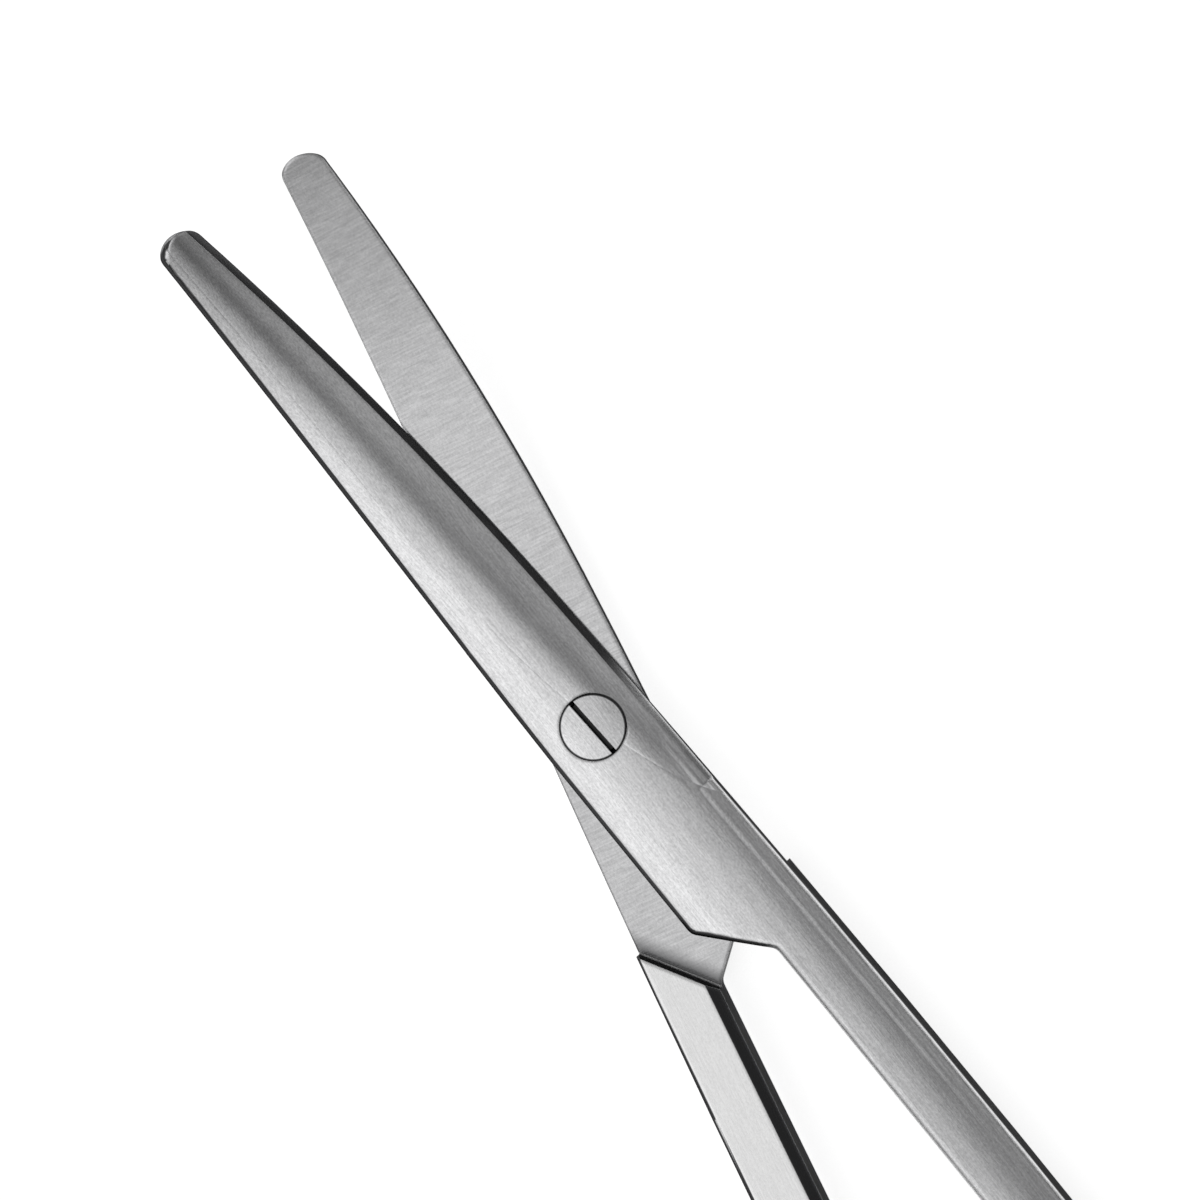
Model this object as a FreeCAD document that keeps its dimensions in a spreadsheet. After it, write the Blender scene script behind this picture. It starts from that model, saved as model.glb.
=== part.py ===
# Dissecting scissors, 145 mm long, with blades curved on the flat and a slotted pivot screw.
# The scissors lie flat. X runs along them towards the tips, Z is up, and the origin is on the pivot
# axis in the plane that the scissors rest on. Lengths are millimetres, angles are degrees.
#
# Each half is drawn in its own frame: X to its tip, Z towards its outer side, blade back at +Y,
# cutting edge and shank at -Y, and the middle of the gap between the lap faces at Z = 0. The lower
# half is the same design turned over about X, but its blade curves towards its inner side.
import FreeCAD, Part
import math
import os

import Sketcher

# Driving dimensions

SIZES = [
    ("overall_length", 145.0, "blade tips to the far side of the finger rings, blades closed"),
    ("tip_reach", 43.5, "pivot axis to the blade tip, along the scissors"),
    ("lap_width", 7.75, "width of each half across the pivot"),
    ("lap_thickness", 2.1, "thickness of each half at the pivot"),
    ("lap_gap", 0.06, "running gap between the two lap faces"),
    ("crown_radius", 13.0, "radius of the convex outer side, across the half"),
    ("back_mid_width", 3.18, "blade axis to the back, half way along the blade"),
    ("edge_mid_width", 2.95, "blade axis to the cutting edge, half way along the blade"),
    ("tip_half_width", 1.55, "blade axis to either side where the tip rounding starts"),
    ("tip_rounding", 0.8, "length of the round end of the blade"),
    ("tip_corner_radius", 1.0, "rounding where the round end meets the sides"),
    ("tip_thickness", 1.25, "thickness of the blade at its tip"),
    ("bend_start", 9.5, "pivot axis to the start of the upward curve of the blades"),
    ("bend_radius", 64.0, "radius of the upward curve of the blades"),
    ("bend_stagger", 0.5, "how much later the curve of the lower blade starts, which sets the blades apart"),
    ("edge_land", 0.14, "thickness left at the cutting edge"),
    ("cutting_bevel_width", 0.42, "width of the narrow bevel along the cutting edge"),
    ("cutting_bevel_slope", 46.0, "slope of the narrow bevel along the cutting edge"),
    ("bevel_slope", 27.0, "slope of the long bevel beside the narrow one"),
    ("bevel_radius", 14.0, "radius of the slight dome of the long bevel, across the blade"),
    ("bevel_runout", 7.8, "pivot axis to the place on the joint where the long bevel has run out"),
    ("shoulder_reach", 19.4, "pivot axis to the shoulder that ends the lap, on the mid line"),
    ("shoulder_slant", 42.5, "angle between that shoulder and the length of the scissors"),
    ("shoulder_clearance", 0.45, "gap between shoulder and step when the scissors are closed"),
    ("corner_radius", 0.9, "rounding of the corners of the shoulder"),
    ("shank_depth", 2.0, "lap face to the inner side of the shank"),
    ("shank_foot", 4.4, "mid line to the outer edge of the shank, where it spreads to the ring"),
    ("shank_spread", 6.0, "length over which the shank spreads to the ring"),
    ("mid_gap", 0.14, "mid line to the inner edge of each shank, blades closed"),
    ("rim_round", 0.5, "rounding round the outer side of blade, lap and shank"),
    ("inner_chamfer", 0.7, "chamfer along the inner edge of the shank, on its inner side"),
    ("soft_edge", 0.3, "rounding along the outer edge of the shank, on its inner side"),
    ("ring_inner_length", 24.4, "finger ring opening along the scissors"),
    ("ring_inner_width", 18.4, "finger ring opening across the scissors"),
    ("ring_end_radius", 7.5, "radius of the two narrow ends of that opening"),
    ("ring_side_radius", 10.0, "bend of the inner edge of the shank where it meets the ring"),
    ("ring_depth", 2.1, "lap face to the inner side of the ring, which lies on the table"),
    ("ring_section", 3.6, "width of the section of the finger ring"),
    ("screw_head_diameter", 4.5, "pivot screw head"),
    ("screw_head_rim", 0.35, "straight rim of the screw head"),
    ("screw_shaft_diameter", 2.9, "pivot screw shaft"),
    ("screw_slot_width", 0.36, "screwdriver slot"),
    ("screw_slot_depth", 0.6, "screwdriver slot"),
    ("screw_slot_angle", 2.6, "slot from the length of the upper half"),
    ("pivot_clearance", 0.04, "radial gap between screw and upper half"),
    ("thread_clearance", 0.02, "radial gap between screw and lower half"),
    ("rest_opening", 13.3, "angle between the halves as they lie"),
]

# Helpers


class Size:
    """A number that keeps the sheet formula it comes from, so that a sketch can be bound to it."""

    def __init__(self, value, formula):
        self.value = value
        self.formula = formula

    def __add__(self, other):
        other = as_size(other)
        return Size(self.value + other.value, f"({self.formula} + {other.formula})")

    def __sub__(self, other):
        other = as_size(other)
        return Size(self.value - other.value, f"({self.formula} - {other.formula})")

    def __mul__(self, other):
        other = as_size(other)
        return Size(self.value * other.value, f"({self.formula} * {other.formula})")

    def __truediv__(self, other):
        other = as_size(other)
        return Size(self.value / other.value, f"({self.formula} / {other.formula})")

    def __neg__(self):
        return Size(-self.value, f"(-1 * {self.formula})")


def as_size(number):
    """A Size from a Size or a plain number."""
    if isinstance(number, Size):
        return number
    return Size(float(number), f"({float(number)})")


def root(size):
    return Size(math.sqrt(size.value), f"sqrt({size.formula})")


def sine(angle):
    angle = as_size(angle)
    return Size(math.sin(math.radians(angle.value)), f"sin({angle.formula} * 1 deg)")


def cosine(angle):
    angle = as_size(angle)
    return Size(math.cos(math.radians(angle.value)), f"cos({angle.formula} * 1 deg)")


def tangent(angle):
    return sine(angle) / cosine(angle)


def sagitta(radius, run):
    """How far a circle leaves its tangent after a run along the tangent."""
    return radius - root(radius * radius - run * run)


doc = FreeCAD.newDocument("dissecting_scissors")
sheet = doc.addObject("Spreadsheet::Sheet", "Sizes")
for row, (alias, number, note) in enumerate(SIZES, start=1):
    sheet.set(f"A{row}", str(number))
    sheet.set(f"B{row}", note)
    sheet.setAlias(f"A{row}", alias)
doc.recompute()

size = {alias: Size(number, f"Sizes.{alias}") for alias, number, note in SIZES}


def origin_feature(body, role):
    for feature in body.Origin.OriginFeatures:
        if feature.Role == role:
            return feature
    raise ValueError(role)


def new_sketch(body, name, plane, offset=None):
    """An empty sketch on an origin plane of its body, moved along the plane's normal by offset."""
    sketch = body.newObject("Sketcher::SketchObject", name)
    sketch.AttachmentSupport = (origin_feature(body, plane), [""])
    sketch.MapMode = "FlatFace"
    if offset is not None:
        sketch.AttachmentOffset = FreeCAD.Placement(FreeCAD.Vector(0, 0, offset.value), FreeCAD.Rotation())
        sketch.setExpression("AttachmentOffset.Base.z", offset.formula)
    return sketch


def pin_point(sketch, geometry, position, point):
    """Holds one point of the sketch at two sizes, measured from the sketch's origin."""
    for direction, distance in zip(("DistanceX", "DistanceY"), point):
        rule = Sketcher.Constraint(direction, -1, 1, geometry, position, distance.value)
        index = sketch.addConstraint(rule)
        sketch.setExpression(f"Constraints[{index}]", distance.formula)


def vector(point):
    return FreeCAD.Vector(point[0].value, point[1].value, 0)


def draw(sketch, corners, through=None, closed=True):
    """Lines from corner to corner, or an arc where through gives a point between two corners."""
    through = through or {}
    corners = [tuple(as_size(number) for number in corner) for corner in corners]
    count = len(corners) if closed else len(corners) - 1
    ends = []
    for index in range(count):
        first = corners[index]
        second = corners[(index + 1) % len(corners)]
        if index in through:
            middle = tuple(as_size(number) for number in through[index])
            turns_left = (vector(middle) - vector(first)).cross(vector(second) - vector(middle)).z > 0
            if turns_left:
                arc = Part.Arc(vector(first), vector(middle), vector(second))
            else:
                arc = Part.Arc(vector(second), vector(middle), vector(first))
            edge = sketch.addGeometry(arc, False)
            ends.append((edge, 1, 2) if turns_left else (edge, 2, 1))
            mark = sketch.addGeometry(Part.Point(vector(middle)), True)
            pin_point(sketch, mark, 1, middle)
            sketch.addConstraint(Sketcher.Constraint("PointOnObject", mark, 1, edge))
        else:
            edge = sketch.addGeometry(Part.LineSegment(vector(first), vector(second)), False)
            ends.append((edge, 1, 2))
    for index in range(count):
        edge, start, stop = ends[index]
        pin_point(sketch, edge, start, corners[index])
        if closed or index + 1 < count:
            next_edge, next_start, _ = ends[(index + 1) % count]
            sketch.addConstraint(Sketcher.Constraint("Coincident", edge, stop, next_edge, next_start))
        else:
            pin_point(sketch, edge, stop, corners[index + 1])
    return sketch


def extrude(body, kind, name, sketch, length, symmetric=False):
    """A Pad or Pocket of a sketch."""
    feature = body.newObject(f"PartDesign::{kind}", name)
    feature.Profile = sketch
    feature.Length = length.value
    feature.setExpression("Length", length.formula)
    feature.SideType = "Symmetric" if symmetric else "One side"
    return feature


def turn(body, kind, name, sketch):
    """A Revolution or Groove of a sketch about the body's Z axis."""
    feature = body.newObject(f"PartDesign::{kind}", name)
    feature.Profile = sketch
    feature.ReferenceAxis = (origin_feature(body, "Z_Axis"), [""])
    feature.Angle = 360
    return feature


def sweep(body, kind, name, profile, path):
    """An AdditivePipe or SubtractivePipe of a profile along all the edges of a path sketch."""
    doc.recompute()
    feature = body.newObject(f"PartDesign::{kind}", name)
    feature.Profile = profile
    feature.Spine = (path, [f"Edge{index}" for index in range(1, len(path.Shape.Edges) + 1)])
    return feature


class Rim:
    """An edge of a shape by its middle point and by the way that its two faces point there."""

    def __init__(self, shape, edge):
        self.middle = edge.valueAt((edge.FirstParameter + edge.LastParameter) / 2)
        self.upright = abs(edge.tangentAt(edge.FirstParameter).z) > 0.9
        self.slopes = []
        for face in shape.ancestorsOfType(edge, Part.Face):
            self.slopes.append(face.normalAt(*face.Surface.parameter(self.middle)).z)

    def joins(self, low, high):
        """Whether one face is a wall and the slope of the other one is from low to high."""
        wall, other = sorted(self.slopes, key=abs)
        return not self.upright and abs(wall) < 0.05 and low < other < high


def dress(body, kind, name, amount, chosen):
    """A Fillet or Chamfer on the chosen edges of the body so far."""
    doc.recompute()
    base = body.Tip
    edges = []
    for index, edge in enumerate(base.Shape.Edges, start=1):
        if chosen(Rim(base.Shape, edge)):
            edges.append(f"Edge{index}")
    feature = body.newObject(f"PartDesign::{kind}", name)
    feature.Base = (base, edges)
    sized = "Radius" if kind == "Fillet" else "Size"
    setattr(feature, sized, amount.value)
    feature.setExpression(sized, amount.formula)
    return feature


# Sizes that follow from the driving ones. The bow of the shank makes its outer edge run on smoothly
# from the cutting edge.

half_gap = size["lap_gap"] / 2
half_lap = size["lap_width"] / 2
bend_run = size["tip_reach"] - size["bend_start"]
ring_half_length = size["ring_inner_length"] / 2 + size["ring_section"]
ring_centre_x = size["tip_reach"] - size["overall_length"] + ring_half_length
ring_centre_y = -(size["mid_gap"] + size["ring_inner_width"] / 2 + size["ring_section"])
ring_end_centre = size["ring_inner_length"] / 2 - size["ring_end_radius"]
ring_mid_radius = size["ring_end_radius"] + size["ring_section"] / 2
shank_end = ring_centre_x + ring_half_length + size["shank_spread"]
tip_start = size["tip_reach"] - size["tip_rounding"]
edge_taper = (half_lap * 3 - size["edge_mid_width"] * 4 + size["tip_half_width"]) / tip_start
shank_bow = (half_lap * 3 + size["shank_foot"] - edge_taper * shank_end) / 4
slant_run = as_size(1) / tangent(size["shoulder_slant"])
step_reach = size["shoulder_reach"] + size["shoulder_clearance"] / sine(size["shoulder_slant"])
head_radius = size["screw_head_diameter"] / 2
shaft_radius = size["screw_shaft_diameter"] / 2
head_depth = size["screw_head_rim"] + head_radius - shaft_radius

# How far the cutters reach past the metal, and where the sections of the long bevel stand, as shares
# of the way from its runout to the tip

OVERCUT = 4.0
CLEAR = 30.0
BEVEL_STATIONS = (0, 0.16, 0.3, 0.45, 0.65, 0.85, 1.08)
BEVEL_FULL_DEPTH = 0.45

# Where the corners of the cushion-shaped ring section lie, as a share of its half width and depth

SECTION_CORNER = 0.86


def near_ring_end(angle):
    """A point inside the near end of the finger ring, at an angle round that end."""
    return (ring_centre_x + ring_end_centre + ring_mid_radius * cosine(angle),
            ring_centre_y + ring_mid_radius * sine(angle))


def blade_edge(place):
    """How far the cutting edge is from the blade's axis at a place along it."""
    share = place / tip_start
    rest = as_size(1) - share
    return (half_lap * (rest * (rest - share))
            + size["edge_mid_width"] * (share * rest * 4)
            + size["tip_half_width"] * (share * (share - rest)))


def half(name, bend):
    """One half of the scissors. Its blade bends towards its outer side where bend is 1, and towards
    its inner side where bend is -1."""
    body = doc.addObject("PartDesign::Body", f"{name}_forging")
    bend_start = size["bend_start"] - size["bend_stagger"] / 2 * bend
    run_to_tip = size["tip_reach"] - bend_start
    shoulder_end = -(size["shoulder_reach"] - slant_run * half_lap)
    inner_corner = -(size["shoulder_reach"] + slant_run * size["mid_gap"])

    # Blank, with the outline of blade, lap and shank, and the root of the finger ring
    ring_side = ring_centre_x + size["ring_inner_length"] / 4
    outline = draw(
        new_sketch(body, f"{name}_outline", "XY_Plane"),
        [(tip_start, size["tip_half_width"]),
         (tip_start, -size["tip_half_width"]),
         (0, -half_lap),
         (shank_end, -size["shank_foot"]),
         near_ring_end(27),
         near_ring_end(60),
         (ring_centre_x, -(size["mid_gap"] + size["ring_section"] * 0.7)),
         (ring_centre_x, -(size["mid_gap"] + size["ring_section"] * 0.3)),
         (ring_side, -size["mid_gap"]),
         (inner_corner, -size["mid_gap"]),
         (shoulder_end, half_lap),
         (0, half_lap)],
        {0: (size["tip_reach"], 0),
         1: (tip_start / 2, -size["edge_mid_width"]),
         2: (shank_end / 2, -shank_bow),
         11: (tip_start / 2, size["back_mid_width"])})
    blank_height = (sagitta(size["bend_radius"], bend_run) + size["lap_thickness"]) * 2 + OVERCUT
    extrude(body, "Pad", f"{name}_blank", outline, blank_height, symmetric=True)
    dress(body, "Fillet", f"{name}_corners", size["corner_radius"],
          lambda rim: rim.upright and rim.middle.y > -half_lap.value / 2
          and abs(rim.middle.x - (shoulder_end + inner_corner).value / 2) < half_lap.value)
    dress(body, "Fillet", f"{name}_tip_corners", size["tip_corner_radius"],
          lambda rim: rim.upright and rim.middle.x > bend_start.value)
    dress(body, "Fillet", f"{name}_ring_side", size["ring_side_radius"],
          lambda rim: rim.upright and abs(rim.middle.x - ring_side.value) < size["mid_gap"].value)

    # Convex outer side, swept along the straight shank and the curve of the blade
    rise = (sagitta(size["bend_radius"], run_to_tip) * bend
            + size["tip_thickness"] + half_gap - size["lap_thickness"])
    path_radius = (run_to_tip * run_to_tip + rise * rise) / (rise * 2 * bend)
    path_run = run_to_tip + OVERCUT * 2
    path_start = ring_centre_x - OVERCUT
    path = draw(
        new_sketch(body, f"{name}_outer_path", "XZ_Plane"),
        [(path_start, size["lap_thickness"]),
         (bend_start, size["lap_thickness"]),
         (bend_start + path_run, size["lap_thickness"] + sagitta(path_radius, path_run) * bend)],
        {1: (bend_start + path_run / 2,
             size["lap_thickness"] + sagitta(path_radius, path_run / 2) * bend)},
        closed=False)
    reach = -ring_centre_y
    crown_edge = size["lap_thickness"] - sagitta(size["crown_radius"], reach)
    crown = draw(
        new_sketch(body, f"{name}_crown", "YZ_Plane", path_start),
        [(-reach, crown_edge),
         (reach, crown_edge),
         (reach, CLEAR),
         (-reach, CLEAR)],
        {0: (0, size["lap_thickness"])})
    sweep(body, "SubtractivePipe", f"{name}_outer_side", crown, path)

    dress(body, "Fillet", f"{name}_rim_round", size["rim_round"],
          lambda rim: rim.joins(0.3, 1))

    # Inner side: level under the shank, then the lap face up to the slanting step
    below = draw(
        new_sketch(body, f"{name}_shank_side", "XZ_Plane"),
        [(path_start, -size["shank_depth"]),
         (0, -size["shank_depth"]),
         (0, -blank_height),
         (path_start, -blank_height)])
    extrude(body, "Pocket", f"{name}_shank_level", below, as_size(CLEAR * 2), symmetric=True)
    lap_reach = half_lap + OVERCUT
    seat = draw(
        new_sketch(body, f"{name}_lap_outline", "XY_Plane", half_gap),
        [(-step_reach + slant_run * lap_reach, -lap_reach),
         (bend_start, -lap_reach),
         (bend_start, lap_reach),
         (-step_reach - slant_run * lap_reach, lap_reach)])
    extrude(body, "Pocket", f"{name}_lap_face", seat, blank_height)

    # Inner side of the blade, ground along its curve
    curve_run = run_to_tip + OVERCUT
    face = draw(
        new_sketch(body, f"{name}_blade_side", "XZ_Plane"),
        [(bend_start, half_gap),
         (bend_start + curve_run, half_gap + sagitta(size["bend_radius"], curve_run) * bend),
         (bend_start + curve_run, -blank_height),
         (bend_start, -blank_height)],
        {0: (bend_start + curve_run / 2,
             half_gap + sagitta(size["bend_radius"], curve_run / 2) * bend)})
    extrude(body, "Pocket", f"{name}_blade_face", face, as_size(CLEAR), symmetric=True)

    # Edges of the inner side
    dress(body, "Chamfer", f"{name}_inner_chamfer", size["inner_chamfer"],
          lambda rim: rim.joins(-1.1, -0.9) and rim.middle.z < -half_gap.value
          and abs(rim.middle.y + size["mid_gap"].value) < size["mid_gap"].value)
    dress(body, "Fillet", f"{name}_soft_edge", size["soft_edge"],
          lambda rim: rim.joins(-1.1, -0.9) and rim.middle.z < -half_gap.value
          and rim.middle.y < -half_lap.value * 0.85)

    # Long bevel, and the narrow one along the cutting edge. Both come up out of the joint's side.
    stations = []
    for step, share in enumerate(BEVEL_STATIONS):
        place = size["tip_reach"] * share - size["bevel_runout"] * (1 - share)
        width = blade_edge(place)
        fade = max(0.0, 1 - share / BEVEL_FULL_DEPTH) ** 2
        side_height = size["lap_thickness"] - sagitta(size["crown_radius"], width) - size["rim_round"]
        foot = half_gap + size["edge_land"]
        level = foot + (side_height - foot) * fade
        if place.value > bend_start.value:
            level = level + sagitta(size["bend_radius"], place - bend_start) * bend
        knee_y = size["cutting_bevel_width"] - width
        knee_z = level + size["cutting_bevel_width"] * tangent(size["cutting_bevel_slope"])
        centre_y = knee_y + size["bevel_radius"] * sine(size["bevel_slope"])
        centre_z = knee_z - size["bevel_radius"] * cosine(size["bevel_slope"])
        arc = []
        for across in (centre_y / 2 + knee_y / 2, centre_y):
            off = centre_y - across
            arc.append((across, centre_z + root(size["bevel_radius"] * size["bevel_radius"] - off * off)))
        section = [
            (-width - OVERCUT, level - tangent(size["cutting_bevel_slope"]) * OVERCUT),
            (knee_y, knee_z),
            arc[1],
            (centre_y, level + CLEAR),
            (-width - OVERCUT, level + CLEAR),
        ]
        sketch = new_sketch(body, f"{name}_bevel_{step}", "YZ_Plane", place)
        stations.append(draw(sketch, section, {1: arc[0]}))
    bevel = body.newObject("PartDesign::SubtractiveLoft", f"{name}_long_bevel")
    bevel.Profile = stations[0]
    bevel.Sections = stations[1:]
    return body


def finger_ring(name):
    """The oval finger ring, with a cushion-shaped section."""
    body = doc.addObject("PartDesign::Body", f"{name}_ring")
    half_length = size["ring_inner_length"] / 2
    half_width = size["ring_inner_width"] / 2
    side_radius = ((half_length * half_length - half_length * size["ring_end_radius"] * 2
                    + half_width * half_width)
                   / ((half_width - size["ring_end_radius"]) * 2))
    centres = side_radius - size["ring_end_radius"]
    end_share = ring_end_centre / centres
    meet_x = ring_end_centre + ring_mid_radius * end_share
    meet_y = ring_mid_radius * (side_radius - half_width) / centres
    bisector_x = ring_end_centre + ring_mid_radius * root((end_share + 1) / 2)
    bisector_y = ring_mid_radius * root((as_size(1) - end_share) / 2)
    mid_length = half_length + size["ring_section"] / 2
    mid_width = half_width + size["ring_section"] / 2
    path = draw(
        new_sketch(body, f"{name}_ring_path", "XY_Plane"),
        [(ring_centre_x + mid_length, ring_centre_y),
         (ring_centre_x + meet_x, ring_centre_y + meet_y),
         (ring_centre_x - meet_x, ring_centre_y + meet_y),
         (ring_centre_x - meet_x, ring_centre_y - meet_y),
         (ring_centre_x + meet_x, ring_centre_y - meet_y)],
        {0: (ring_centre_x + bisector_x, ring_centre_y + bisector_y),
         1: (ring_centre_x, ring_centre_y + mid_width),
         2: (ring_centre_x - mid_length, ring_centre_y),
         3: (ring_centre_x, ring_centre_y - mid_width),
         4: (ring_centre_x + bisector_x, ring_centre_y - bisector_y)})
    side = size["ring_section"] / 2
    middle = ring_centre_x + mid_length
    profile = draw(
        new_sketch(body, f"{name}_ring_section", "XZ_Plane", -ring_centre_y),
        [(middle - side * SECTION_CORNER, -size["ring_depth"] * SECTION_CORNER),
         (middle + side * SECTION_CORNER, -size["ring_depth"] * SECTION_CORNER),
         (middle + side * SECTION_CORNER, size["ring_depth"] * SECTION_CORNER),
         (middle - side * SECTION_CORNER, size["ring_depth"] * SECTION_CORNER)],
        {0: (middle, -size["ring_depth"]),
         1: (middle + side, 0),
         2: (middle, size["ring_depth"]),
         3: (middle - side, 0)})
    sweep(body, "AdditivePipe", f"{name}_ring_bar", profile, path)
    return body


def screw_profile(body, name, gap, low, high):
    """Half section of the countersunk screw, grown by gap all round."""
    top = size["lap_thickness"]
    return draw(
        new_sketch(body, name, "XZ_Plane"),
        [(0, low),
         (shaft_radius + gap, low),
         (shaft_radius + gap, top - head_depth - gap),
         (head_radius + gap, top - size["screw_head_rim"] - gap),
         (head_radius + gap, high),
         (0, high)])


# Upper half, with the countersunk hole that it turns on

upper = half("upper_half", 1)
hole = screw_profile(upper, "upper_half_hole_section", size["pivot_clearance"],
                     -size["lap_thickness"], size["lap_thickness"] * 2)
turn(upper, "Groove", "upper_half_screw_hole", hole)

# Lower half, with the hole that holds the screw

lower = half("lower_half", -1)
thread_radius = shaft_radius + size["thread_clearance"]
hole = draw(
    new_sketch(lower, "lower_half_hole_section", "XZ_Plane"),
    [(0, -size["lap_thickness"]),
     (thread_radius, -size["lap_thickness"]),
     (thread_radius, size["lap_thickness"] * 2),
     (0, size["lap_thickness"] * 2)])
turn(lower, "Groove", "lower_half_screw_hole", hole)

# Pivot screw, with its head ground down to the convex side of the upper half

screw = doc.addObject("PartDesign::Body", "pivot_screw")
turned = screw_profile(screw, "screw_section", as_size(0), -size["lap_thickness"], size["lap_thickness"])
turn(screw, "Revolution", "screw_blank", turned)
slot_corners = []
for end, side in ((-1, -1), (1, -1), (1, 1), (-1, 1)):
    along = size["screw_head_diameter"] * end
    across = size["screw_slot_width"] / 2 * side
    slot_corners.append((along * cosine(size["screw_slot_angle"]) - across * sine(size["screw_slot_angle"]),
                         along * sine(size["screw_slot_angle"]) + across * cosine(size["screw_slot_angle"])))
slot = draw(new_sketch(screw, "screw_slot_outline", "XY_Plane", size["lap_thickness"]), slot_corners)
extrude(screw, "Pocket", "screw_slot", slot, size["screw_slot_depth"])
head_edge = size["lap_thickness"] - sagitta(size["crown_radius"], size["screw_head_diameter"])
above = draw(
    new_sketch(screw, "screw_crown", "YZ_Plane"),
    [(-size["screw_head_diameter"], head_edge),
     (size["screw_head_diameter"], head_edge),
     (size["screw_head_diameter"], size["lap_thickness"] * 2),
     (-size["screw_head_diameter"], size["lap_thickness"] * 2)],
    {0: (0, size["lap_thickness"])})
extrude(screw, "Pocket", "screw_head_crown", above, size["lap_width"] * 2, symmetric=True)

# The halves joined with their rings, and where the pieces lie

pieces = []
for label, forging in (("upper_half", upper), ("lower_half", lower)):
    whole = doc.addObject("Part::MultiFuse", label)
    whole.Shapes = [forging, finger_ring(label)]
    whole.Refine = True
    pieces.append(whole)
pieces.append(screw)
floor_to_lap = FreeCAD.Vector(0, 0, size["lap_thickness"].value)
half_opening = FreeCAD.Rotation(FreeCAD.Vector(0, 0, 1), size["rest_opening"].value / 2)
turned_over = FreeCAD.Rotation(FreeCAD.Vector(1, 0, 0), 180)
turns = (half_opening, half_opening.inverted() * turned_over, half_opening)
for piece, label, rotation in zip(pieces, ("upper_half", "lower_half", "pivot_screw"), turns):
    piece.Label = label
    piece.Placement = FreeCAD.Placement(floor_to_lap, rotation)
    piece.setExpression("Placement.Base.z", size["lap_thickness"].formula)
doc.recompute()

# Check and write

for thing in doc.Objects:
    if "Invalid" in thing.State or "Error" in thing.State:
        raise RuntimeError(f"{thing.Name} can't be built: {thing.getStatusString()}")
os.makedirs("parts", exist_ok=True)
for piece in pieces:
    if piece.Shape.isNull() or not piece.Shape.isValid() or len(piece.Shape.Solids) != 1:
        raise RuntimeError(f"{piece.Label} is not one valid solid")
    piece.Shape.exportStep(f"parts/{piece.Label}.step")
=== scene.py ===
import math

import bpy
from mathutils import Matrix, Vector


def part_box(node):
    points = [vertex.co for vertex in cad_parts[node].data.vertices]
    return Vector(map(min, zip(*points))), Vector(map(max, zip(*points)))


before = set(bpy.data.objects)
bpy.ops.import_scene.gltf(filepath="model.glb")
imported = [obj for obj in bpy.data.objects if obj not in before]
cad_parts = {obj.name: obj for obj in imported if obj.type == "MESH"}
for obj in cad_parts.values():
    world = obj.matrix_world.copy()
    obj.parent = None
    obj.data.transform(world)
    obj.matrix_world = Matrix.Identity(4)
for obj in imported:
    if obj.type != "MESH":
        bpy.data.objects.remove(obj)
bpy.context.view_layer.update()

# Camera
# The photograph looks down on the joint, turned so that the blades point up and to the left, and
# from a few degrees to the right of the blades, so that the right-hand sides of the shanks show.

MM = 0.001
SHOT_PIXELS = 1200
PIXELS_PER_MM = 14.7
SCREW_PIXEL = (592.5, 727.5)
BLADES_FROM_HORIZONTAL = math.radians(57.45)
CAMERA_LEAN = math.radians(8.5)
CAMERA_DISTANCE = 700 * MM

towards_camera = Vector((0, -math.sin(CAMERA_LEAN), math.cos(CAMERA_LEAN)))
to_tips = Vector((1, 0, 0))
beside_tips = to_tips.cross(towards_camera)
picture_right = (-math.cos(BLADES_FROM_HORIZONTAL) * to_tips
                 + math.sin(BLADES_FROM_HORIZONTAL) * beside_tips)
picture_up = (math.sin(BLADES_FROM_HORIZONTAL) * to_tips
              + math.cos(BLADES_FROM_HORIZONTAL) * beside_tips)
screw_low, screw_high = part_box("pivot_screw")
screw_head = Vector(((screw_low.x + screw_high.x) / 2, (screw_low.y + screw_high.y) / 2, screw_high.z))
pixel = MM / PIXELS_PER_MM
picture_centre = (screw_head
                  + picture_right * (SHOT_PIXELS / 2 - SCREW_PIXEL[0]) * pixel
                  + picture_up * (SCREW_PIXEL[1] - SHOT_PIXELS / 2) * pixel)

camera_data = bpy.data.cameras.new("camera")
camera_data.sensor_width = 36
camera_data.lens = camera_data.sensor_width * CAMERA_DISTANCE / (SHOT_PIXELS * pixel)
camera_data.clip_start = 0.01
camera = bpy.data.objects.new("camera", camera_data)
turn = Matrix((picture_right, picture_up, towards_camera)).transposed().to_4x4()
camera.matrix_world = Matrix.Translation(picture_centre + towards_camera * CAMERA_DISTANCE) @ turn
bpy.context.scene.collection.objects.link(camera)
bpy.context.scene.camera = camera

# Floor
# Plain white paper. It looks white to the camera and in the steel, and keeps a faint shadow.

FLOOR_REACH = 1.5
PAPER_COLOUR = "C8C8C8"
PAPER_ROUGHNESS = 0.9
PAPER_GLOW = 0.8


def srgb(code):
    """Linear colour of an sRGB hex code."""
    values = [int(code[place:place + 2], 16) / 255 for place in (0, 2, 4)]
    linear = [value / 12.92 if value <= 0.04045 else ((value + 0.055) / 1.055) ** 2.4 for value in values]
    return (*linear, 1.0)


def add(tree, kind, inputs=None, **settings):
    """One node with its settings. An input is a value or a (node, output) pair to link from."""
    node = tree.nodes.new(kind)
    for name, value in settings.items():
        setattr(node, name, value)
    for name, value in (inputs or {}).items():
        if isinstance(value, tuple) and len(value) == 2 and isinstance(value[0], bpy.types.Node):
            tree.links.new(value[0].outputs[value[1]], node.inputs[name])
        else:
            node.inputs[name].default_value = value
    return node


def new_material(name):
    material = bpy.data.materials.new(name)
    material.use_nodes = True
    material.node_tree.nodes.clear()
    return material


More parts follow.
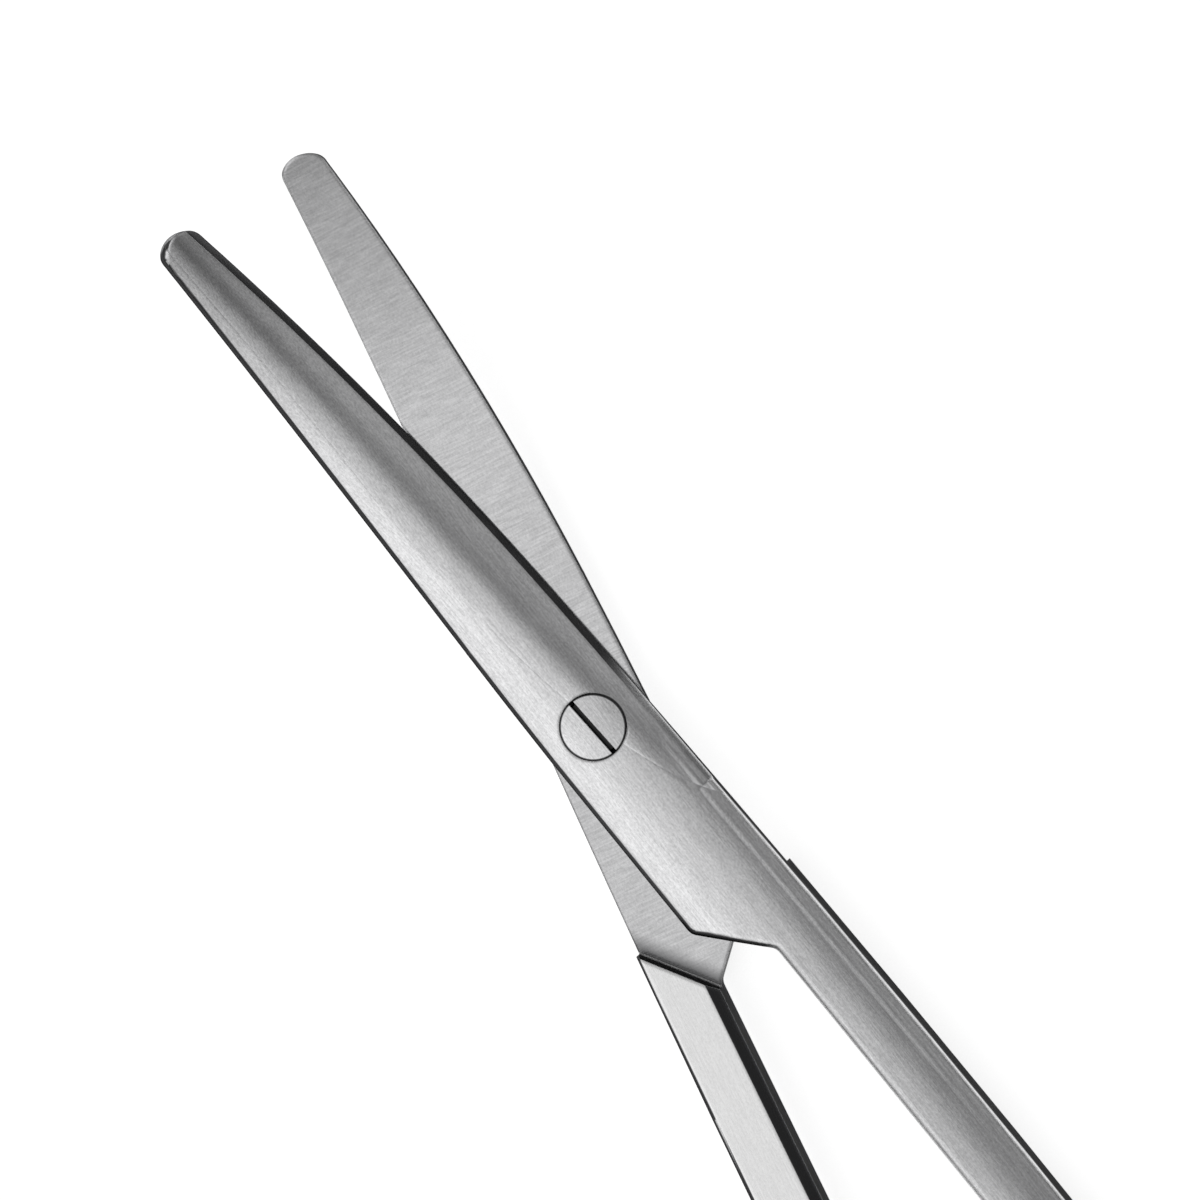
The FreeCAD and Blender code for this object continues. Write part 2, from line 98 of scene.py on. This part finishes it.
floor_mesh = bpy.data.meshes.new("floor")
floor_mesh.from_pydata([(-FLOOR_REACH, -FLOOR_REACH, 0), (FLOOR_REACH, -FLOOR_REACH, 0),
                        (FLOOR_REACH, FLOOR_REACH, 0), (-FLOOR_REACH, FLOOR_REACH, 0)], [], [(0, 1, 2, 3)])
floor = bpy.data.objects.new("floor", floor_mesh)
bpy.context.scene.collection.objects.link(floor)
white_paper = new_material("white_paper")
tree = white_paper.node_tree
light_path = add(tree, "ShaderNodeLightPath")
seen = add(tree, "ShaderNodeMath", {0: (light_path, "Is Camera Ray"), 1: (light_path, "Is Glossy Ray")},
           operation="MAXIMUM")
seen = add(tree, "ShaderNodeMath", {0: (seen, 0), 1: (light_path, "Is Transmission Ray")},
           operation="MAXIMUM")
glow = add(tree, "ShaderNodeMath", {0: (seen, 0), 1: PAPER_GLOW}, operation="MULTIPLY")
paper = add(tree, "ShaderNodeBsdfPrincipled", {"Base Color": srgb(PAPER_COLOUR),
                                                 "Roughness": PAPER_ROUGHNESS})
white = add(tree, "ShaderNodeEmission", {"Color": (1, 1, 1, 1), "Strength": (glow, 0)})
both = add(tree, "ShaderNodeAddShader", {0: (paper, "BSDF"), 1: (white, "Emission")})
add(tree, "ShaderNodeOutputMaterial", {"Surface": (both, "Shader")})
floor_mesh.materials.append(white_paper)

# Light
# A plain tent, lighter on the left of the scissors than on the right and dark near the floor. Its levels
# by degrees from straight up were set against the photograph. A softbox on the left adds a bright band.

KEY_TILT = 34
KEY_LEVEL = 0.2
BOX_DISTANCE = 1.0
BOX_LENGTH = 2.6
BOX_WIDTH = 0.4
TENT = ((-85, "767676"), (-66, "6C6C6C"), (-54, "949494"), (-44, "B4B4B4"), (-35, "969696"),
        (-22, "848484"), (-12, "A0A0A0"), (-4, "CACACA"), (4, "DEDEDE"), (14, "ECECEC"),
        (24, "F6F6F6"), (50, "E0E0E0"), (66, "8C8C8C"), (84, "767676"))
TENT_END_LEVEL = 0.4
TENT_ENDS = (0.3, 0.95)

key_data = bpy.data.lights.new("key", "AREA")
key_data.shape = "RECTANGLE"
key_data.size = BOX_LENGTH
key_data.size_y = BOX_WIDTH
key_data.energy = KEY_LEVEL * math.pi * BOX_LENGTH * BOX_WIDTH
key = bpy.data.objects.new("key", key_data)
key_angle = math.radians(KEY_TILT)
key.location = (0, BOX_DISTANCE * math.sin(key_angle), BOX_DISTANCE * math.cos(key_angle))
key.rotation_euler = (-key_angle, 0, 0)
bpy.context.scene.collection.objects.link(key)

tent = bpy.data.worlds.new("tent")
tent.use_nodes = True
tree = tent.node_tree
tree.nodes.clear()
direction = add(tree, "ShaderNodeTexCoord")
parts = add(tree, "ShaderNodeSeparateXYZ", {"Vector": (direction, "Generated")})
tilt = add(tree, "ShaderNodeMath", {0: (parts, "Y"), 1: (parts, "Z")}, operation="ARCTAN2")
place = add(tree, "ShaderNodeMapRange", {"Value": (tilt, 0), "From Min": -math.pi / 2,
                                         "From Max": math.pi / 2})
bands = add(tree, "ShaderNodeValToRGB", {"Fac": (place, "Result")})
ramp = bands.color_ramp
for number, (degrees, code) in enumerate(TENT):
    position = degrees / 180 + 0.5
    stop = ramp.elements[number] if number < 2 else ramp.elements.new(position)
    stop.position = position
    stop.color = srgb(code)
endwise = add(tree, "ShaderNodeMath", {0: (parts, "X")}, operation="ABSOLUTE")
level = add(tree, "ShaderNodeMapRange", {"Value": (endwise, 0), "From Min": TENT_ENDS[0],
                                         "From Max": TENT_ENDS[1], "To Min": 1.0,
                                         "To Max": TENT_END_LEVEL},
            interpolation_type="SMOOTHSTEP")
sky = add(tree, "ShaderNodeBackground", {"Color": (bands, "Color"), "Strength": (level, "Result")})
add(tree, "ShaderNodeOutputWorld", {"Surface": (sky, "Background")})
bpy.context.scene.world = tent
bpy.context.scene.view_settings.view_transform = "Standard"

# Lower half
# One forging of stainless steel, brushed lengthwise to a satin finish. The inner side of blade and lap
# is ground across. Rims and side faces are painted darker, as painted dark reflections of the
# surroundings, and the inner lap has painted shade near the step.

REST_OPENING = 13.3
BEND_START = 9.5
BEND_RADIUS = 64.0
STEP_REACH = 19.9
STEP_SLANT = 42.5
STEP_SHADE_REACH = 2.2
JOINT_FROM = (4.0, -2.0)
RING_FROM = (-72.0, -64.0)
EDGE_SOFTNESS = 0.35
EDGE_SAMPLES = 4
# Painted shade of the gap round the screw head, from and to these mm off the head's radius
GAP_SHADE_EDGES = (0.05, 0.1)

# Places where a face counts as inner, wall, steep, rim or outer, by how far it turns
INNER_FACES = (-0.9, -0.97)
WALL_FACES = (0.35, 0.15)
STEEP_FACES = (0.87, 0.76)
RIM_FACES = (0.27, 0.38)
OUTER_FACES = 0.1

OUTER_STEEL = ("C8C8C9", "F0F0F1")
INNER_STEEL = ("C4C4C5", "E6E6E7")
FLAT_STEEL = ("ECECEC", "FCFCFC")
# Painted shade on the inner lap towards the step wall
STEP_PAINTED_SHADE = "7A7A7B"
# Painted dark reflections: colours of rounded rims and upright walls, and the tint at a glancing look
RIM_PAINTED_REFLECTION = "565657"
WALL_PAINTED_REFLECTION = "B4B4B5"
GLANCING_PAINTED_REFLECTION = "383838"
STEEL_ROUGHNESS = (0.16, 0.22)
PATCHES = (9.0, 2.0, 2.0)
PATCH_LIMITS = (0.3, 0.7)
GRAIN_DEPTH = 0.02
GRAIN_STRENGTH = 0.35
GRAIN_LIMITS = (0.35, 0.65)
SATIN_STREAKS = (2.2, 0.11, 0.11)
GROUND_STREAKS = (0.13, 1.6, 1.6)
SAND = (0.22, 0.14, 0.14)
RIDGE = ((-20, -14), (-9, -4.0), (-4, -1.54), (4, 0.45), (12, 1.35), (18, 1.6), (26, 1.36), (44, 0.6))
RIDGE_TOP = 2.0
RIDGE_SLOPE = (0.26, 0.38)
RIDGE_SOFTNESS = (3.0, 1.9)
RIDGE_CHANGE = (20, 40)
BEAD_AT = -3.17
BEAD_SLANT = 0.0171
BEAD_HEIGHT = 0.03
BEAD_WIDTH = 0.4
BEAD_ENDS = (-45, -30, -5, -2)


def calculate(tree, operation, *values, **settings):
    """Result of a sum of one to three values."""
    return (add(tree, "ShaderNodeMath", dict(enumerate(values)), operation=operation, **settings), 0)


def remap(tree, value, low, high, out_low=0.0, out_high=1.0, kind="LINEAR"):
    """Value turned from the range low..high to the range out_low..out_high, and kept in it."""
    return (add(tree, "ShaderNodeMapRange", {"Value": value, "From Min": low, "From Max": high,
                                             "To Min": out_low, "To Max": out_high},
                interpolation_type=kind), "Result")


def blend(tree, factor, first, second):
    """Colour between two colours."""
    return (add(tree, "ShaderNodeMix", {"Factor": factor, "A": first, "B": second}, data_type="RGBA"), 2)


def mix(tree, factor, first, second):
    """Value between two values."""
    return (add(tree, "ShaderNodeMix", {"Factor": factor, "A": first, "B": second}), "Result")


def grains(tree, place, lengths, detail):
    """Noise whose grains have the given lengths in mm along x, y and z of a place."""
    scaled = add(tree, "ShaderNodeVectorMath",
                 {0: place, 1: tuple(1 / (MM * length) for length in lengths)}, operation="MULTIPLY")
    noise = add(tree, "ShaderNodeTexNoise", {"Vector": (scaled, "Vector"), "Scale": 1.0, "Detail": detail,
                                             "Roughness": 0.6})
    return (noise, "Fac")


def turned(tree, vector, axis, angle):
    """Vector turned about an axis through the origin."""
    return (add(tree, "ShaderNodeVectorRotate", {"Vector": vector, "Axis": axis, "Angle": angle},
                rotation_type="AXIS_ANGLE"), "Vector")


def split(tree, vector):
    """Node that gives the X, Y and Z of a vector."""
    return add(tree, "ShaderNodeSeparateXYZ", {"Vector": vector})


def brushing(tree, along):
    """Satin grain: brushed streaks along the part, mixed with fine sand."""
    streaks = grains(tree, along, SATIN_STREAKS, 3.0)
    sand = grains(tree, along, SAND, 2.0)
    return mix(tree, 0.5, streaks, sand)


def cross_grinding(tree, along):
    """Grain of the inner sides: short streaks across the blade, mixed with fine sand."""
    streaks = grains(tree, along, GROUND_STREAKS, 3.0)
    sand = grains(tree, along, SAND, 2.0)
    return mix(tree, 0.4, streaks, sand)


def ridge_height(tree, spot, mirror):
    """Height in metres that rounds the upper edge of the long bevel. It rises down the bevel, least
    steeply where it ends, as minus the square of the way that is left. It is nothing on the shank."""
    low_x, low_y = RIDGE[0]
    high_x = RIDGE[-1][0]
    line = add(tree, "ShaderNodeFloatCurve", {"Value": remap(tree, (spot, "X"), low_x * MM, high_x * MM)})
    points = line.mapping.curves[0].points
    for number, (x, y) in enumerate(RIDGE):
        share = ((x - low_x) / (high_x - low_x), (y - low_y) / (RIDGE_TOP - low_y))
        if number < 2:
            points[number].location = share
        else:
            points.new(*share)
    line.mapping.update()
    ridge = remap(tree, (line, "Value"), 0.0, 1.0, low_y * MM, RIDGE_TOP * MM)
    down = calculate(tree, "MULTIPLY_ADD", (spot, "Y"), -mirror, ridge)
    from_x, to_x = (x * MM for x in RIDGE_CHANGE)
    reach = remap(tree, (spot, "X"), from_x, to_x, RIDGE_SOFTNESS[0] * MM, RIDGE_SOFTNESS[1] * MM)
    slope = remap(tree, (spot, "X"), from_x, to_x, *RIDGE_SLOPE)
    left = calculate(tree, "SUBTRACT", 1.0, calculate(tree, "DIVIDE", down, reach), use_clamp=True)
    height = calculate(tree, "MULTIPLY", calculate(tree, "MULTIPLY_ADD", left, left, -1.0), reach)
    before_shank = calculate(tree, "GREATER_THAN", (spot, "X"), low_x * MM)
    height = calculate(tree, "MULTIPLY", height, before_shank)
    return calculate(tree, "MULTIPLY", calculate(tree, "MULTIPLY", height, slope), -0.5)


def bead_height(tree, spot, mirror):
    """Height in metres of the fine raised line that runs along the outer edge of joint and shank."""
    line = calculate(tree, "MULTIPLY_ADD", (spot, "X"), -BEAD_SLANT, -BEAD_AT * MM)
    off = calculate(tree, "ABSOLUTE", calculate(tree, "MULTIPLY_ADD", (spot, "Y"), mirror, line))
    bead = remap(tree, off, BEAD_WIDTH * MM, 0.0, 0.0, BEAD_HEIGHT * MM, "SMOOTHSTEP")
    far, far_full, near_full, near = (place * MM for place in BEAD_ENDS)
    begins = remap(tree, (spot, "X"), near, near_full, kind="SMOOTHSTEP")
    ends = remap(tree, (spot, "X"), far, far_full, kind="SMOOTHSTEP")
    return calculate(tree, "MULTIPLY", calculate(tree, "MULTIPLY", bead, begins), ends)


def grained(tree, grain, steel):
    """Colour between the two colours of a steel, by its grain."""
    return blend(tree, remap(tree, grain, *GRAIN_LIMITS), srgb(steel[0]), srgb(steel[1]))


def off_axis(tree, place):
    """Distance of a place from the pivot's axis."""
    level_place = add(tree, "ShaderNodeVectorMath", {0: place, 1: (1, 1, 0)}, operation="MULTIPLY")
    return (add(tree, "ShaderNodeVectorMath", {0: (level_place, "Vector")}, operation="LENGTH"), "Value")


def steel_surface(tree, along, colour, painted_dark, wall, grain, form):
    """Metal with its grain as a fine bump on a given form. Places of painted dark reflection or painted
    shade get a darker colour and a darker tint at a glancing look, and upright walls are painted less
    dark than rounded rims."""
    bump = add(tree, "ShaderNodeBump", {"Height": grain, "Strength": GRAIN_STRENGTH,
                                        "Distance": GRAIN_DEPTH * MM, "Normal": form})
    # Painted dark reflection: rims darker than upright walls, and a darker tint at a glancing look
    painted_reflection_colour = blend(tree, wall, srgb(RIM_PAINTED_REFLECTION), srgb(WALL_PAINTED_REFLECTION))
    patches = grains(tree, along, PATCHES, 2.0)
    steel = add(tree, "ShaderNodeBsdfPrincipled", {
        "Base Color": blend(tree, painted_dark, colour, painted_reflection_colour),
        "Metallic": 1.0,
        "Roughness": remap(tree, patches, *PATCH_LIMITS, *STEEL_ROUGHNESS),
        "Specular Tint": blend(tree, painted_dark, srgb("FFFFFF"), srgb(GLANCING_PAINTED_REFLECTION)),
        "Normal": (bump, "Normal"),
    })
    add(tree, "ShaderNodeOutputMaterial", {"Surface": (steel, "BSDF")})


def half_steel(name, turn, inner_side, hole_radius=0.0):
    """Steel of a half that is turned by an angle about Z and whose inner side faces up (1) or
    down (-1). A fine line of painted shade, for the gap, runs round its screw hole, if a radius is given."""
    material = new_material(name)
    tree = material.node_tree
    mirror = float(-inner_side)
    coordinates = add(tree, "ShaderNodeTexCoord")
    along = turned(tree, (coordinates, "Object"), (0, 0, 1), -math.radians(turn))
    spot = split(tree, along)
    straight = turned(tree, (coordinates, "Normal"), (0, 0, 1), -math.radians(turn))
    bend = remap(tree, (spot, "X"), BEND_START * MM, (BEND_START + BEND_RADIUS) * MM)
    facing = split(tree, turned(tree, straight, (0, 1, 0), bend))
    outwards = calculate(tree, "MULTIPLY", (facing, "Z"), mirror)
    inwards = remap(tree, outwards, *INNER_FACES)

    # Satin outside, ground across on the inner side of blade and lap, bright on the shank's flat
    slant = inner_side / math.tan(math.radians(STEP_SLANT))
    measure = add(tree, "ShaderNodeVectorMath", {0: along, 1: (1, -slant, 0)}, operation="DOT_PRODUCT")
    before_step = (measure, "Value")
    on_blade = calculate(tree, "GREATER_THAN", before_step, -STEP_REACH * MM)
    inner = calculate(tree, "MULTIPLY", inwards, on_blade)
    flat = calculate(tree, "SUBTRACT", inwards, inner)
    satin = brushing(tree, along)
    ground = cross_grinding(tree, along)
    grain = mix(tree, inner, satin, ground)
    outer_colour = grained(tree, satin, OUTER_STEEL)
    inner_colour = grained(tree, ground, INNER_STEEL)
    # Painted shade: the inner lap darkens over the last STEP_SHADE_REACH mm before the step wall
    painted_step_shade = remap(tree, before_step, (STEP_SHADE_REACH - STEP_REACH) * MM, -STEP_REACH * MM,
                      kind="SMOOTHSTEP")
    inner_colour = blend(tree, painted_step_shade, inner_colour, srgb(STEP_PAINTED_SHADE))
    flat_colour = grained(tree, satin, FLAT_STEEL)
    colour = blend(tree, inner, outer_colour, inner_colour)
    colour = blend(tree, flat, colour, flat_colour)

    # Painted dark reflections on rims and side faces. On the outer side, the joint and the shank have a
    # painted dark rim only along the back, up to the step.
    upright = calculate(tree, "ABSOLUTE", (facing, "Z"))
    wall = remap(tree, upright, *WALL_FACES)
    steep = remap(tree, upright, *STEEP_FACES)
    backwards = calculate(tree, "MULTIPLY", (facing, "Y"), mirror)
    outside = calculate(tree, "GREATER_THAN", outwards, OUTER_FACES)
    from_x, to_x = (x * MM for x in JOINT_FROM)
    behind_blade = remap(tree, (spot, "X"), from_x, to_x, kind="SMOOTHSTEP")
    plain = calculate(tree, "MULTIPLY", outside, behind_blade)
    steep = calculate(tree, "MULTIPLY", steep, calculate(tree, "SUBTRACT", 1.0, plain))
    before_shank = remap(tree, (spot, "X"), -STEP_REACH * MM, (1 - STEP_REACH) * MM)
    rim = calculate(tree, "MULTIPLY", remap(tree, backwards, *RIM_FACES), before_shank)
    sideways = calculate(tree, "MULTIPLY", calculate(tree, "ABSOLUTE", (facing, "Y")),
                         calculate(tree, "SUBTRACT", behind_blade, plain))
    rim = calculate(tree, "MAXIMUM", rim, remap(tree, sideways, *RIM_FACES))
    before_ring = remap(tree, (spot, "X"), RING_FROM[0] * MM, RING_FROM[1] * MM)
    painted_dark = calculate(tree, "MULTIPLY", calculate(tree, "MAXIMUM", steep, rim), before_ring)
    painted_dark = calculate(tree, "MAXIMUM", painted_dark, wall)
    # Painted shade of the gap round the screw hole
    if hole_radius:
        near_line, far_line = ((hole_radius + edge) * MM for edge in GAP_SHADE_EDGES)
        line = remap(tree, off_axis(tree, (coordinates, "Object")), far_line, near_line)
        painted_dark = calculate(tree, "MAXIMUM", painted_dark, line)

    # Rounded edges, the soft ridge of the long bevel, and the fine raised line
    edges = add(tree, "ShaderNodeBevel", {"Radius": EDGE_SOFTNESS * MM}, samples=EDGE_SAMPLES)
    height = calculate(tree, "ADD", ridge_height(tree, spot, mirror), bead_height(tree, spot, mirror))
    rounding = add(tree, "ShaderNodeBump", {"Height": calculate(tree, "MULTIPLY", height, outside),
                                            "Strength": 1.0, "Distance": 1.0, "Normal": (edges, "Normal")})
    steel_surface(tree, along, colour, painted_dark, wall, grain, (rounding, "Normal"))
    return material


lower_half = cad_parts["lower_half"]
lower_half.data.materials.clear()
lower_half.data.materials.append(half_steel("lower_half_satin_steel", -REST_OPENING / 2, 1))

# Upper half
# The same forging the other way up, so its outer side is the one in the photograph's foreground.
# The pivot screw is sunk into it, and the fine line round the screw head is painted shade of the gap.

HEAD_RADIUS = 2.25

upper_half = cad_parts["upper_half"]
upper_half.data.materials.clear()
upper_half.data.materials.append(half_steel("upper_half_satin_steel", REST_OPENING / 2, -1, HEAD_RADIUS))

# Pivot screw
# A slotted countersunk screw of the same steel. Its head is ground flush with the upper half in
# place, so the grain runs on over it. Its slot, by height above the table, is painted with shade, and
# its rim with painted shade of the gap.

HEAD_FROM = 1.0
SLOT_TO = 3.85
SLOT_PAINTED_SHADE = "303030"
HEAD_EDGE_SHARE = 0.25


def screw_steel(name, turn):
    """Steel of the screw, with the upper half's grain, painted shade below the face of its head, and a
    line of painted gap shade along the head's rim.
    """
    material = new_material(name)
    tree = material.node_tree
    coordinates = add(tree, "ShaderNodeTexCoord")
    along = turned(tree, (coordinates, "Object"), (0, 0, 1), -math.radians(turn))
    spot = split(tree, along)
    satin = brushing(tree, along)
    colour = grained(tree, satin, OUTER_STEEL)
    # Painted shade of the gap, along the rim of the head
    near_line, far_line = ((HEAD_RADIUS - edge) * MM for edge in GAP_SHADE_EDGES)
    line = remap(tree, off_axis(tree, along), far_line, near_line)
    # Painted shade in the slot and on the screw below the face of its head
    below_face = calculate(tree, "LESS_THAN", (spot, "Z"), SLOT_TO * MM)
    above_end = calculate(tree, "GREATER_THAN", (spot, "Z"), HEAD_FROM * MM)
    slot_shade = calculate(tree, "MULTIPLY", below_face, above_end)
    colour = blend(tree, slot_shade, colour, srgb(SLOT_PAINTED_SHADE))
    painted_dark = calculate(tree, "SUBTRACT", line, slot_shade, use_clamp=True)
    edges = add(tree, "ShaderNodeBevel", {"Radius": EDGE_SOFTNESS * HEAD_EDGE_SHARE * MM},
                samples=EDGE_SAMPLES)
    steel_surface(tree, along, colour, painted_dark, 0.0, satin, (edges, "Normal"))
    return material


pivot_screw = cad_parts["pivot_screw"]
pivot_screw.data.materials.clear()
pivot_screw.data.materials.append(screw_steel("pivot_screw_satin_steel", REST_OPENING / 2))
